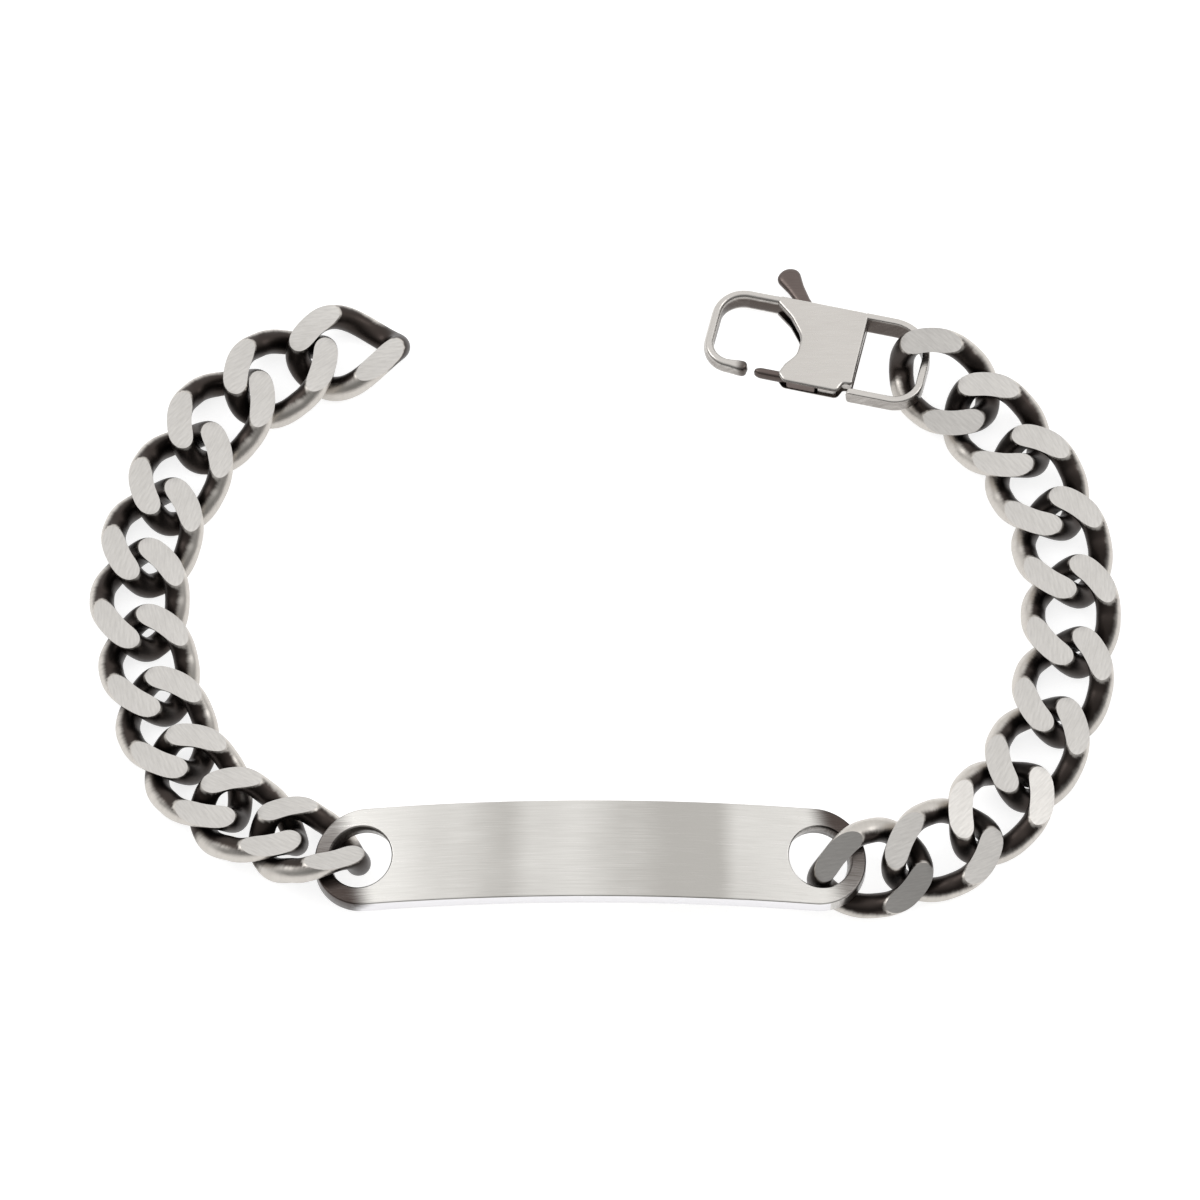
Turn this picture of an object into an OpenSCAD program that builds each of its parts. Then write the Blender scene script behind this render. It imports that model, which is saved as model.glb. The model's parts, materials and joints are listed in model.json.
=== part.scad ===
// Identity bracelet in steel: a curved plate between two runs of twisted curb links,
// a pear-shaped end link and a clasp with a sprung thumb lever, lying open on a table.
// Millimetres, +Z up. The origin is on the table, under the middle of the whole bracelet.

/* [Links] */
// Outer length of a curb link
link_len = 11.75; // [11.6:0.05:12.2]
// Outer width of a curb link, before it is twisted
link_w = 9.1; // [9.0:0.05:9.6]
// Diameter of the wire the links are bent from
wire_d = 2.2; // [2.0:0.05:2.25]
// Thickness of a link after its top and bottom are ground flat
link_thick = 3.4; // [3.0:0.1:3.8]
// Twist of each end of a link against its middle, in degrees
link_twist = 54; // [52:1:60]
// Fullness of a link's corners, 2 for a plain oval
link_full = 2.5; // [2.3:0.05:2.7]
// Outer length of the end link
end_len = 11.6; // [11.4:0.1:12.2]
// Outer width of the end link
end_w = 9.0; // [8.6:0.1:9.4]
// How much narrower the end link is at its point, as a share of its width
end_pear = 0.14; // [0.1:0.02:0.2]

/* [Plate] */
// Length of the plate along its curve, tip to tip
plate_len = 51.0; // [48:0.2:56]
// Width of the plate
plate_w = 9.4; // [9.2:0.1:9.6]
// Thickness of the plate
plate_thick = 1.9; // [1.6:0.1:2.0]
// Radius of the plate's bend, to its top face
plate_bend_r = 97; // [80:1:130]
// Diameter of the hole at each end of the plate
plate_hole_d = 5.9; // [5.8:0.05:6.1]
// Wall of the plate's ring at its tip
tip_wall = 1.45; // [1.3:0.05:1.7]
// Bevel around the plate's holes
hole_bevel = 0.2; // [0.1:0.05:0.3]

/* [Clasp] */
// Length of the clasp's frame, hook to rear loop
clasp_len = 20.9; // [20.4:0.1:22]
// Width of the clasp's frame
clasp_w = 9.3; // [9.2:0.1:9.8]
// Thickness of the clasp along the thumb lever's side
clasp_thick = 2.4; // [2.2:0.1:2.6]
// Thickness of the clasp along the gate's side
clasp_thin = 1.5; // [1.4:0.1:2.0]
// Wall of the strip that forms the hook and the rear loop
strip_t = 0.75; // [0.6:0.05:0.9]
// How much higher the hook's open side sits than the rear loop's
hook_lift = 0.6; // [0.2:0.05:0.7]
// Length of the clasp's housing, between its two face plates
house_len = 8.0; // [7.6:0.1:8.4]
// Thickness of the lever between the face plates
lever_t = 1.0; // [0.8:0.05:1.1]
// Diameter of the hidden pin the lever turns on
pin_d = 1.2; // [1.0:0.1:1.4]
// Radius of the lever's round thumb piece
thumb_r = 1.1; // [0.9:0.05:1.2]
// Half the width of the lever where it comes out of the housing
neck_r = 0.75; // [0.6:0.05:0.9]
// Thickness of the gate bar, seen on the clasp's face
gate_t = 0.8; // [0.6:0.05:0.9]

/* [Chain] */
// Number of curb links on each side of the plate
side_links = 10; // [8:1:10]

/* [Hidden] */

stations = 16;
wire_sides = 6;
arc_steps = 8;
over = 1;

// Running clearances of the lever: on its pin, against each face plate, and of its
// gate past the hook's tip
pin_clear = 0.04;
side_clear = 0.05;
gate_clear = 0.1;

flat_steel = [0.78, 0.76, 0.74];
dark_steel = [0.36, 0.33, 0.31];
plate_steel = [0.82, 0.81, 0.79];
clasp_steel = [0.75, 0.73, 0.71];
lever_steel = [0.44, 0.40, 0.38];

// How the bracelet lies, link by link from the plate outwards. Each row is a link's
// step (direction to the next link), slack (how much closer the next link is than a
// taut chain's), swing (turn off the run's own direction), roll (lean about its length)
// and pitch (lean along its length), in degrees and millimetres.
left_lay = [
    [155, 1.20, 4, -24, -6],
    [140, 1.25, 4.5, -13, -1],
    [119, 1.00, -0.5, -6, 0],
    [106, 1.00, 0, 0, 0],
    [98, 0.60, 0, 0, 0],
    [80, 0.85, 0, 0, 0],
    [67, 0.75, -0.5, 0, 0],
    [58, 0.40, -0.5, 0, 0],
    [38, 0.45, 1, 0, 0],
    [20, 0.65, 6, 0, -3]];
right_lay = [
    [18, 0.50, -6, -33, -8],
    [39, 0.60, -4.5, -19, -4],
    [57, 0.45, 0, -12, -8],
    [69, 0.35, 0, -2, 0],
    [83, 0.40, -0.5, 0, 0],
    [96, 0.60, -0.5, 0, 0],
    [110, 0.70, -0.5, 0, 0],
    [124, 0.70, -1, 3, 1],
    [137, 0.65, 1.5, 5, 0],
    [137, 0, 2, 16, 8]];
// Where the first link of each run lies from the middle of its hole
left_start = [-4.85, 1.75];
right_start = [4.72, -0.62];
// Turn, roll and pitch of the end link
end_lean = [6, 0, 0];
// Where the clasp's pin lies from the last link, and its turn, roll and pitch
clasp_from_link = [-11.6, 5.25];
clasp_lean = [-12.8, -13, -2];
clasp_height = 2.1;
// How far the plate's rings ride above the height of a link's wire
ring_ride = 0.86;
// Where the plate's middle lies from the origin
plate_at = [-1.36, -27.87];

wire_r = wire_d / 2;
taut = link_len - 2 * wire_d;
last = side_links - 1;

hole_arc = (plate_len - plate_hole_d) / 2 - tip_wall;
mid_r = plate_bend_r - plate_thick / 2;
hole_angle = hole_arc / mid_r * 180 / PI;
hole_x = mid_r * sin(hole_angle);
hole_sag = mid_r * (1 - cos(hole_angle));
tip_x = hole_x + plate_hole_d / 2 + tip_wall;
end_round_x = tip_x - plate_w / 2;
plate_top = wire_d + ring_ride + plate_thick + hole_sag;

// Frame of the clasp: x along it to the rear, y towards the thumb lever, from the pin
frame_x1 = 10.85;
frame_x0 = frame_x1 - clasp_len;
frame_y1 = 2.6;
frame_y0 = frame_y1 - clasp_w;
house_x1 = 4.4;
house_x0 = house_x1 - house_len;
cheek_z = lever_t / 2 + side_clear;

// A point of a link's centre line. The ring is an oval with full corners, whose two
// ends are turned about its length by the twist, one each way; pear narrows it
// towards +x.
function full(v) = sign(v) * pow(abs(v), 2 / link_full);
function ring_point(t, a, b, pear) =
    let (
        turn = -link_twist * cos(t),
        y = b * (pear == 0 ? full(sin(t)) : sin(t) * (1 - pear * cos(t))))
    [a * (pear == 0 ? full(cos(t)) : cos(t)), y * cos(turn), y * sin(turn)];
function unit(v) = v / norm(v);
function ring_section(t, a, b, pear) =
    let (
        p = ring_point(t, a, b, pear),
        along = unit(ring_point(t + 1, a, b, pear) - ring_point(t - 1, a, b, pear)),
        side = unit(cross(along, [0, 0, 1])),
        up = cross(side, along))
    [for (k = [0:wire_sides - 1])
        let (w = 360 * k / wire_sides)
        p + wire_r * (cos(w) * side + sin(w) * up)];
function ring_points(a, b, pear) =
    [for (i = [0:stations - 1]) each ring_section(360 * i / stations, a, b, pear)];
function ring_faces() =
    [for (i = [0:stations - 1], k = [0:wire_sides - 1])
        let (
            j = (i + 1) % stations,
            m = (k + 1) % wire_sides,
            p = i * wire_sides + k,
            q = i * wire_sides + m,
            r = j * wire_sides + m,
            s = j * wire_sides + k)
        each [[p, r, s], [p, q, r]]];

// Lowest point of a link that leans by roll and pitch, against its middle: the corners
// that its ground faces leave, and where they cut its edges
function leaned_z(p, roll, pitch) =
    -p.x * sin(pitch) + cos(pitch) * (p.y * sin(roll) + p.z * cos(roll));
function cut_edge(p, q) =
    let (h = link_thick / 2)
    concat(
        abs(p.z) <= h ? [p] : [],
        [for (level = [-h, h])
            if ((p.z - level) * (q.z - level) < 0) p + (q - p) * (level - p.z) / (q.z - p.z)]);
function ground_points(points) =
    [for (f = ring_faces(), k = [0:2]) each cut_edge(points[f[k]], points[f[(k + 1) % 3]])];
function lowest(a, b, pear, roll, pitch) =
    min([for (p = ground_points(ring_points(a, b, pear))) leaned_z(p, roll, pitch)]);

link_a = (link_len - wire_d) / 2;
link_b = (link_w - wire_d) / 2;
end_a = (end_len - wire_d) / 2;
end_b = (end_w - wire_d) / 2;

function step(row) = (taut - row[1]) * [cos(row[0]), sin(row[0])];
// Middle of link k of a run, counted from the plate, where the first is 0
function run_point(lay, start, k) =
    k == 0 ? start : run_point(lay, start, k - 1) + step(lay[k - 1]);
function run_turn(lay, k) =
    180 + lay[k][2] + (k == 0 ? lay[0][0] : (lay[k - 1][0] + lay[k][0]) / 2);

left_hole = plate_at - [hole_x, 0];
right_hole = plate_at + [hole_x, 0];
function left_at(k) = run_point(left_lay, left_hole + left_start, k);
function right_at(k) = run_point(right_lay, right_hole + right_start, k);
end_at = left_at(last) + step(left_lay[last]);
clasp_at = right_at(last) + clasp_from_link;

module ring(a, b, pear) {
    intersection() {
        polyhedron(points = ring_points(a, b, pear), faces = ring_faces(), convexity = 6);
        cube([4 * a, 4 * b, link_thick], center = true);
    }
}

// One curb link, set down on the table at a place, with its turn, roll and pitch
module laid_ring(at, turn, roll, pitch, a, b, pear = 0) {
    translate([at.x, at.y, -lowest(a, b, pear, roll, pitch)])
        rotate([roll, pitch, turn])
            ring(a, b, pear);
}

module run_link(lay, at, k) {
    color(k % 2 == 0 ? flat_steel : dark_steel)
        laid_ring(at, run_turn(lay, k), lay[k][3], lay[k][4], link_a, link_b);
}

module left_link(number) {
    run_link(left_lay, left_at(side_links - number), side_links - number);
}

module right_link(number) {
    run_link(right_lay, right_at(side_links - number), side_links - number);
}

module end_link() {
    color(flat_steel)
        laid_ring(end_at, end_lean[0], end_lean[1], end_lean[2], end_a, end_b, end_pear);
}

// Hole across the plate at the arc's own slope, with its rims bevelled
module plate_hole(side) {
    bevel_h = hole_bevel + over;
    bevel_d = plate_hole_d + 2 * bevel_h;
    rotate([0, side * hole_angle, 0])
        translate([0, 0, plate_bend_r - plate_thick - over]) {
            cylinder(d = plate_hole_d, h = plate_thick + 2 * over, $fn = 64);
            cylinder(d1 = bevel_d, d2 = plate_hole_d, h = bevel_h, $fn = 64);
            translate([0, 0, over + plate_thick - hole_bevel])
                cylinder(d1 = plate_hole_d, d2 = bevel_d, h = bevel_h, $fn = 64);
        }
}

module plate_outline() {
    square([2 * end_round_x, plate_w], center = true);
    for (side = [-1, 1])
        translate([side * end_round_x, 0])
            circle(d = plate_w, $fn = 96);
}

module plate() {
    color(plate_steel)
        translate([plate_at.x, plate_at.y, plate_top - plate_bend_r])
            difference() {
                intersection() {
                    rotate([90, 0, 0])
                        translate([0, 0, -plate_w])
                            linear_extrude(2 * plate_w)
                                difference() {
                                    circle(r = plate_bend_r, $fn = 360);
                                    circle(r = plate_bend_r - plate_thick, $fn = 360);
                                }
                    translate([0, 0, plate_bend_r / 2])
                        linear_extrude(plate_bend_r)
                            plate_outline();
                }
                for (side = [-1, 1])
                    plate_hole(side);
            }
}

// Points along an arc, and a four-cornered outline with its own radius at each corner
function arc(x, y, r, from, to) =
    [for (i = [0:arc_steps])
        let (w = from + (to - from) * i / arc_steps)
        [x + r * cos(w), y + r * sin(w)]];
frame_r = [4.0, 3.0, 2.6, 2.8];
tip_r = 0.5;
loop_gap = 0.45;
slot_wall = 0.3;
top_gap = 0.05;
hook_y0 = frame_y0 + hook_lift;
function frame_outline(in) =
    concat(
        arc(frame_x1 - frame_r[0], frame_y1 - frame_r[0], frame_r[0] - in, 0, 90),
        arc(frame_x0 + frame_r[1], frame_y1 - frame_r[1], frame_r[1] - in, 90, 180),
        arc(frame_x0 + frame_r[2], hook_y0 + frame_r[2], frame_r[2] - in, 180, 270),
        [[hook_tip.x + 2, hook_y0 + in], [hook_tip.x + 3, frame_y0 + in]],
        arc(frame_x1 - frame_r[3], frame_y0 + frame_r[3], frame_r[3] - in, 270, 360));

hook_mouth_x = 4.08;
hook_tip = [frame_x0 + hook_mouth_x, hook_y0 + tip_r];
loop_end_x = house_x1 - loop_gap;
module frame_strip() {
    difference() {
        polygon(frame_outline(0));
        polygon(frame_outline(strip_t));
        // the mouth, from the hook's tip to the loop's free end
        translate([hook_tip.x, frame_y0 - over])
            square([loop_end_x - hook_tip.x, over + hook_lift + 2 * strip_t]);
        // the housing's open top, where the lever comes out
        translate([house_x0 - top_gap, frame_y1 - strip_t - over])
            square([house_len - loop_gap - top_gap, strip_t + 2 * over]);
    }
    translate(hook_tip)
        circle(r = tip_r, $fn = 32);
}

// Face plate of the housing: stepped by the loop's free end, and hollowed on the hook's
// side. Each row is a point's share of the housing's length and of the clasp's width.
step_side = [[1, 0.13], [0.895, 0.12], [0.845, 0.01]];
hollow_side = [[0.26, 0.015], [0.175, 0.075], [0.22, 0.195], [0.30, 0.345], [0.275, 0.56], [0.125, 0.74]];
function on_cheek(share) = [house_x0 + share.x * house_len, frame_y0 + share.y * clasp_w];
module cheek_outline() {
    polygon(concat(
        [[house_x0 - strip_t, frame_y1], [house_x1, frame_y1]],
        [for (share = concat(step_side, hollow_side)) on_cheek(share)],
        [[house_x0 - slot_wall, frame_y1 - strip_t], [house_x0 - strip_t, frame_y1 - strip_t]]));
}

web_x0 = 2.4;
module housing() {
    linear_extrude(clasp_thick + 2 * over, center = true)
        intersection() {
            cheek_outline();
            translate([web_x0, frame_y0 - over])
                square([house_x1, clasp_w + 2 * over]);
        }
    for (side = [0, 1])
        mirror([0, 0, side])
            translate([0, 0, cheek_z])
                linear_extrude(clasp_thick / 2 + over - cheek_z)
                    cheek_outline();
}

// The clasp thins from the lever's side to the gate's side
function clasp_half(y) =
    clasp_thin / 2 + (clasp_thick - clasp_thin) / 2 * (y - frame_y0) / clasp_w;
module clasp_wedge() {
    rotate([90, 0, 90])
        translate([0, 0, frame_x0 - over])
            linear_extrude(clasp_len + 2 * over)
                polygon([
                    [frame_y0 - over, -clasp_half(frame_y0 - over)],
                    [frame_y1 + over, -clasp_half(frame_y1 + over)],
                    [frame_y1 + over, clasp_half(frame_y1 + over)],
                    [frame_y0 - over, clasp_half(frame_y0 - over)]]);
}

spring_slot = [3.6, 0.35, 0.8];
module laid_clasp() {
    translate([clasp_at.x, clasp_at.y, clasp_height])
        rotate([clasp_lean[1], clasp_lean[2], clasp_lean[0]])
            children();
}

module clasp_body() {
    color(clasp_steel)
        laid_clasp()
            difference() {
                intersection() {
                    union() {
                        linear_extrude(clasp_thick + 2 * over, center = true)
                            frame_strip();
                        housing();
                    }
                    clasp_wedge();
                }
                // groove inside the hook, facing the mouth
                translate([
                    house_x0 - slot_wall - spring_slot.x,
                    frame_y1 - strip_t - over,
                    -spring_slot.z / 2])
                    cube([spring_slot.x, spring_slot.y + over, spring_slot.z]);
            }
}

thumb_at = [-3.95, 5.4];
neck_at = [-1.95, 2.9];
hub_r = 1.3;
elbow_at = [0.1, frame_y0 + 0.9];
gate_reach = norm(hook_tip) - tip_r - gate_clear - gate_t / 2;
gate_end = [-sqrt(pow(gate_reach, 2) - pow(elbow_at.y, 2)), elbow_at.y];
module bar(from, from_r, to, to_r) {
    hull() {
        translate(from)
            circle(r = from_r, $fn = 32);
        translate(to)
            circle(r = to_r, $fn = 32);
    }
}

module lever_outline() {
    bar(thumb_at, thumb_r, neck_at, neck_r);
    bar(neck_at, neck_r, [0, 0], hub_r);
    bar([0, 0], hub_r, elbow_at, gate_t / 2);
    bar(elbow_at, gate_t / 2, gate_end, gate_t / 2);
}

module clasp_lever() {
    color(lever_steel)
        laid_clasp()
            difference() {
                linear_extrude(lever_t, center = true)
                    lever_outline();
                cylinder(d = pin_d + 2 * pin_clear, h = lever_t + 2 * over, center = true, $fn = 48);
            }
}

module lever_pin() {
    color(dark_steel)
        laid_clasp()
            cylinder(d = pin_d, h = 2 * cheek_z, center = true, $fn = 48);
}

plate();
for (k = [1:side_links]) {
    left_link(k);
    right_link(k);
}
end_link();
clasp_body();
clasp_lever();
lever_pin();
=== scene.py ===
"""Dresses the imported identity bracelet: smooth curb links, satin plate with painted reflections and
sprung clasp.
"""

import json
import logging
import math
from dataclasses import dataclass, field
from enum import Enum
from typing import NamedTuple

import bmesh
import bpy
import numpy as np
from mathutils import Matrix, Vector


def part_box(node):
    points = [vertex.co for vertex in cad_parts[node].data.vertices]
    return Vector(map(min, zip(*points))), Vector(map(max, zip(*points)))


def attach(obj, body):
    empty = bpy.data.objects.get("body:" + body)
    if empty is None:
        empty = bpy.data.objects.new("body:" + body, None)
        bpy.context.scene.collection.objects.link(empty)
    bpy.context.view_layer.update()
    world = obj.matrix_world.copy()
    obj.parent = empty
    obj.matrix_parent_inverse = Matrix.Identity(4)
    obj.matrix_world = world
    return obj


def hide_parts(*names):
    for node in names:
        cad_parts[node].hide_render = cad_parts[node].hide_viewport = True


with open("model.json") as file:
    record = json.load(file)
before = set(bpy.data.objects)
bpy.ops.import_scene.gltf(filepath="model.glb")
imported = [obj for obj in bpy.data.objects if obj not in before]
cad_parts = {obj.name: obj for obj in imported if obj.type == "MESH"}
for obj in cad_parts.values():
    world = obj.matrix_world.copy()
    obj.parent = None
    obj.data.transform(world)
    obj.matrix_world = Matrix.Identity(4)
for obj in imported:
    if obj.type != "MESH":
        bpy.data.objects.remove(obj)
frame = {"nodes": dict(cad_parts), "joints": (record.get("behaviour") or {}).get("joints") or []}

LOG = logging.getLogger("bracelet")
MM = 0.001
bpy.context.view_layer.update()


class Body(Enum):
    """The two rigid bodies that pieces ride on."""

    BRACELET = "bracelet"
    LEVER = "lever"


class Slot(Enum):
    """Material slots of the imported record."""

    PLATE = "plate_steel"
    LINK = "link_steel"
    CLASP = "clasp_steel"
    LEVER = "lever_steel"


class Side(Enum):
    """The two runs of curb links."""

    LEFT = "left"
    RIGHT = "right"


def unit(vectors: np.ndarray) -> np.ndarray:
    """Returns the vectors, along the last axis, scaled to length one."""
    return vectors / np.linalg.norm(vectors, axis=-1, keepdims=True)


def smooth_step(value: np.ndarray, low: float, high: float) -> np.ndarray:
    """Returns 0 below low and 1 above high, with a smooth step between."""
    share = np.clip((value - low) / (high - low), 0, 1)
    return share * share * (3 - 2 * share)


def signed_power(value: np.ndarray, power: float) -> np.ndarray:
    """Returns the value's size raised to a power, with the value's own sign."""
    return np.sign(value) * np.abs(value) ** power


def run_length(path: np.ndarray) -> np.ndarray:
    """Returns each point's distance from the first, along the path."""
    return np.r_[0, np.cumsum(np.linalg.norm(np.diff(path, axis=0), axis=1))]


def rotation(roll: float, pitch: float, turn: float) -> np.ndarray:
    """Returns the matrix that turns columns by roll about X, then pitch about Y, then turn about Z."""
    angles = np.radians([roll, pitch, turn])
    (cr, cp, ct), (sr, sp, st) = np.cos(angles), np.sin(angles)
    about_x = np.array([[1, 0, 0], [0, cr, -sr], [0, sr, cr]])
    about_y = np.array([[cp, 0, sp], [0, 1, 0], [-sp, 0, cp]])
    about_z = np.array([[ct, -st, 0], [st, ct, 0], [0, 0, 1]])
    return about_z @ about_y @ about_x


def grid_faces(rows: int, columns: int, wrap_rows: bool, wrap_columns: bool) -> np.ndarray:
    """Quads of a grid whose vertex (row, column) has the index row * columns + column.

    Args:
        rows: Number of rows of vertices.
        columns: Number of columns of vertices.
        wrap_rows: Joins the last row to the first.
        wrap_columns: Joins the last column to the first.

    Returns:
        An array of four vertex indices for each face.
    """
    r, c = np.meshgrid(
        np.arange(rows if wrap_rows else rows - 1),
        np.arange(columns if wrap_columns else columns - 1),
        indexing="ij",
    )
    r, c = r.ravel(), c.ravel()
    down, across = (r + 1) % rows, (c + 1) % columns
    return np.c_[r * columns + c, r * columns + across, down * columns + across, down * columns + c]


def capped_faces(rows: int, columns: int) -> list[list[int]]:
    """Returns the quads of a tube, a loop of columns vertices to each row, and a face over each end."""
    ends = range(columns), range((rows - 1) * columns, rows * columns)
    return grid_faces(rows, columns, False, True).tolist() + [list(end) for end in ends]


def mesh_from(
    name: str, points: np.ndarray, faces: list, patina: np.ndarray | None = None
) -> bpy.types.Mesh:
    """Makes a mesh from vertices in millimetres.

    Args:
        name: The mesh's name.
        points: Vertices, one row each, in millimetres.
        faces: Vertex indices of each face.
        patina: How dark each vertex is, from 0 to 1, or nothing for a plain mesh.

    Returns:
        The mesh, in metres.
    """
    mesh = bpy.data.meshes.new(name)
    mesh.from_pydata((points * MM).tolist(), [], faces)
    mesh.update()
    if patina is not None:
        shades = mesh.attributes.new("patina", "FLOAT", "POINT")
        shades.data.foreach_set("value", patina.astype(np.float32))
    return mesh


def add_piece(name: str, mesh: bpy.types.Mesh, body: Body, slot: Slot, *nodes: str) -> bpy.types.Object:
    """Puts a mesh in the scene as a piece that stands for CAD nodes.

    Args:
        name: The piece's name.
        mesh: Its mesh, in place.
        body: The body that it rides on.
        slot: The record's slot for its finish; not used.
        *nodes: The CAD nodes that it replaces.

    Returns:
        The new object.
    """
    piece = bpy.data.objects.new(name, mesh)
    bpy.context.scene.collection.objects.link(piece)
    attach(piece, body.value)
    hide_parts(*nodes)
    LOG.info("%s: %d faces, stands for %s", name, len(mesh.polygons), ", ".join(nodes))
    return piece


# Finishes, with the plate's painted reflections


class Nodes:
    """Short helpers that add linked nodes to one tree."""

    def __init__(self, tree: bpy.types.ShaderNodeTree) -> None:
        """Keeps the tree that nodes are added to."""
        self.tree = tree

    def add(self, kind: str, links: dict | None = None, **settings) -> bpy.types.Node:
        """Adds a node.

        Args:
            kind: The node's type name.
            links: For each input name or number, a socket to link or a value to set.
            **settings: Attributes to set on the node.

        Returns:
            The new node.
        """
        node = self.tree.nodes.new(kind)
        for key, value in settings.items():
            setattr(node, key, value)
        for key, value in (links or {}).items():
            if isinstance(value, bpy.types.NodeSocket):
                self.tree.links.new(value, node.inputs[key])
            else:
                node.inputs[key].default_value = value
        return node

    def math(self, operation: str, first, second=0.0) -> bpy.types.NodeSocket:
        """Returns the output of a Math node on two values or sockets."""
        return self.add("ShaderNodeMath", {0: first, 1: second}, operation=operation).outputs[0]

    def ramp(self, value, low: float, high: float) -> bpy.types.NodeSocket:
        """Returns 0 below low and 1 above high, with a smooth step between."""
        inputs = {"Value": value, "From Min": low, "From Max": high}
        return self.add("ShaderNodeMapRange", inputs, interpolation_type="SMOOTHSTEP").outputs[0]

    def blend(self, share, first, second) -> bpy.types.NodeSocket:
        """Returns the colour mixed from first, at share 0, to second, at share 1."""
        return self.add("ShaderNodeMix", {0: share, 6: first, 7: second}, data_type="RGBA").outputs[2]


def brushed_group() -> bpy.types.ShaderNodeTree:
    """Builds the group for brushed steel's fine parallel scratches.

    Its inputs are a coordinate in millimetres and the density of the scratches, across
    and along them, and of the clouds. Its outputs are a fine streak mask and a broad
    cloud mask.

    Returns:
        The node group.
    """
    group = bpy.data.node_groups.new("brushed_streaks", "ShaderNodeTree")
    group.interface.new_socket("Place", in_out="INPUT", socket_type="NodeSocketVector")
    for name, value in (("Across", 9.0), ("Along", 0.35), ("Cloud", 0.12)):
        socket = group.interface.new_socket(name, in_out="INPUT", socket_type="NodeSocketFloat")
        socket.default_value = value
    for name in ("Streaks", "Clouds"):
        group.interface.new_socket(name, in_out="OUTPUT", socket_type="NodeSocketFloat")
    entry, leave = group.nodes.new("NodeGroupInput"), group.nodes.new("NodeGroupOutput")
    n = Nodes(group)
    place = n.add("ShaderNodeSeparateXYZ", {0: entry.outputs["Place"]})
    along = n.math("MULTIPLY", place.outputs[0], entry.outputs["Along"])
    across = n.math("MULTIPLY", place.outputs[1], entry.outputs["Across"])
    stretched = n.add("ShaderNodeCombineXYZ", {0: along, 1: across, 2: place.outputs[2]})
    fine_inputs = {"Vector": stretched.outputs[0], "Scale": 1.0, "Detail": 5.0, "Roughness": 0.65}
    wide_inputs = {"Vector": entry.outputs["Place"], "Scale": entry.outputs["Cloud"], "Detail": 3.0}
    fine = n.add("ShaderNodeTexNoise", fine_inputs)
    wide = n.add("ShaderNodeTexNoise", wide_inputs)
    n.tree.links.new(fine.outputs[0], leave.inputs["Streaks"])
    n.tree.links.new(wide.outputs[0], leave.inputs["Clouds"])
    return group


BRUSHED = brushed_group()


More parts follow.
